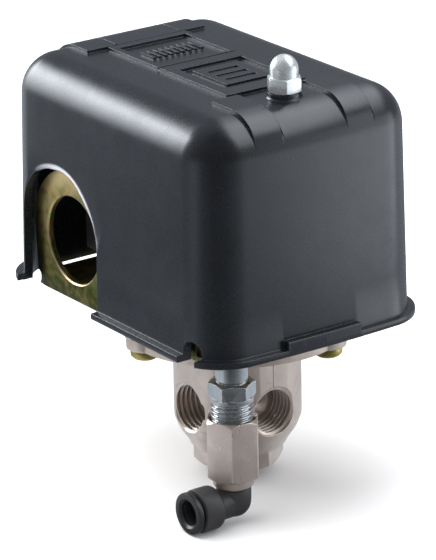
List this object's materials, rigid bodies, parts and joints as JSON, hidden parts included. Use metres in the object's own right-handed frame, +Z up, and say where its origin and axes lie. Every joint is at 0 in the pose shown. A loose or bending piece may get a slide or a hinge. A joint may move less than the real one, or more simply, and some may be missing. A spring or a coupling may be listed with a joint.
{
  "type": "pressure switch",
  "caption": "Diaphragm pressure switch with a black moulded cover, plated frame with conduit ears, four-way port manifold and an unloader valve with a push-in elbow.",
  "frame": {"origin": "centre of the overall footprint, at the height of the lowest point of the push-in elbow", "axes": "+Z up along the pressure port and the cover's studs, -Y towards the side with the cap nut and the unloader valve, -X towards the side the push-in elbow faces"},
  "size_m": [0.068, 0.0922, 0.112],
  "materials": {
    "cover_plastic": "fine satin moulded black",
    "yellow_zinc": "yellow chromated zinc on steel",
    "bright_zinc": "bright zinc plate",
    "nickel": "satin nickel on cast metal",
    "spring_steel": "plain wire",
    "brass": "turned brass",
    "rubber": "matt",
    "bakelite": "moulded black",
    "fitting_plastic": "matt glass-filled black",
    "green_zinc": "green zinc"
  },
  "bodies": {
    "housing": {"base_frame": "yellow_zinc", "cover_stud": "bright_zinc", "range_stud": "bright_zinc", "differential_stud": "bright_zinc", "earth_screw_1": "green_zinc", "earth_screw_2": "green_zinc", "manifold_body": "nickel", "diaphragm": "rubber", "manifold_screw_1": "yellow_zinc", "manifold_screw_2": "yellow_zinc", "manifold_screw_3": "yellow_zinc", "lever_pivot_pin": "bright_zinc", "range_spring": "spring_steel", "differential_spring": "spring_steel", "contact_block": "bakelite", "block_screw_1": "bright_zinc", "block_screw_2": "bright_zinc", "terminal_plate_1": "brass", "terminal_plate_2": "brass", "terminal_plate_3": "brass", "terminal_plate_4": "brass", "terminal_screw_1": "bright_zinc", "terminal_screw_2": "bright_zinc", "terminal_screw_3": "bright_zinc", "terminal_screw_4": "bright_zinc", "unloader_valve_body": "bright_zinc", "unloader_spring": "spring_steel", "unloader_adapter": "nickel", "elbow_stem": "brass"},
    "cover": {"cover": "cover_plastic"},
    "cap_nut": {"cover_cap_nut": "bright_zinc"},
    "piston": {"diaphragm_piston": "bright_zinc"},
    "lever": {"main_lever": "yellow_zinc"},
    "range_seat": {"range_spring_seat": "bright_zinc"},
    "range_adjuster": {"range_nut": "brass"},
    "differential_seat": {"differential_spring_seat": "bright_zinc"},
    "differential_adjuster": {"differential_nut": "brass"},
    "carrier": {"contact_carrier": "bakelite", "moving_contact_1": "brass", "moving_contact_2": "brass"},
    "unloader_pin": {"unloader_pin": "brass"},
    "elbow": {"elbow_body": "fitting_plastic", "grab_ring": "spring_steel", "tube_seal": "rubber"},
    "collar": {"release_collar": "fitting_plastic"}
  },
  "joints": [
    {"name": "cover_lift", "type": "slide", "parent": "housing", "child": "cover", "axis": [0, 0, 1], "range_m": [0, 0.06]},
    {"name": "cap_nut_spin", "type": "hinge", "parent": "cover", "child": "cap_nut", "pos_m": [0, -0.03035, 0.10345], "axis": [0, 0, 1], "continuous": true},
    {"name": "lever_pivot", "type": "hinge", "parent": "housing", "child": "lever", "pos_m": [0, -0.02485, 0.05245], "axis": [1, 0, 0], "range_deg": [0, 4]},
    {"name": "piston_stroke", "type": "slide", "parent": "housing", "child": "piston", "axis": [0, 0, 1], "range_m": [0, 0.0012]},
    {"name": "contact_lift", "type": "slide", "parent": "housing", "child": "carrier", "axis": [0, 0, 1], "range_m": [0, 0.0024]},
    {"name": "unloader_stroke", "type": "slide", "parent": "housing", "child": "unloader_pin", "axis": [0, 0, -1], "range_m": [0, 0.0008], "deforming": ["unloader_spring"]},
    {"name": "range_adjust", "type": "slide", "parent": "housing", "child": "range_seat", "axis": [0, 0, 1], "range_m": [-0.006, 0.003], "deforming": ["range_spring"]},
    {"name": "range_nut_turn", "type": "hinge", "parent": "range_seat", "child": "range_adjuster", "pos_m": [0, -0.01935, 0.09045], "axis": [0, 0, 1], "range_deg": [-2196, 1116]},
    {"name": "differential_adjust", "type": "slide", "parent": "housing", "child": "differential_seat", "axis": [0, 0, 1], "range_m": [-0.0035, 0.0021], "deforming": ["differential_spring"]},
    {"name": "differential_nut_turn", "type": "hinge", "parent": "differential_seat", "child": "differential_adjuster", "pos_m": [0, -0.00085, 0.07695], "axis": [0, 0, 1], "range_deg": [-1836, 1116]},
    {"name": "elbow_swivel", "type": "hinge", "parent": "housing", "child": "elbow", "pos_m": [-0.0198, -0.03485, 0.00745], "axis": [0, 0, 1], "continuous": true},
    {"name": "collar_release", "type": "slide", "parent": "elbow", "child": "collar", "axis": [1, 0, 0], "range_m": [0, 0.0007]}
  ],
  "couplings": [
    {"joint": "piston_stroke", "follows": "lever_pivot", "m_per_rad": 0.0155},
    {"joint": "contact_lift", "follows": "lever_pivot", "m_per_rad": 0.0325},
    {"joint": "unloader_stroke", "follows": "lever_pivot", "m_per_rad": 0.01},
    {"joint": "range_nut_turn", "follows": "range_adjust", "rad_per_m": 6283.2},
    {"joint": "differential_nut_turn", "follows": "differential_adjust", "rad_per_m": 8976}
  ]
}
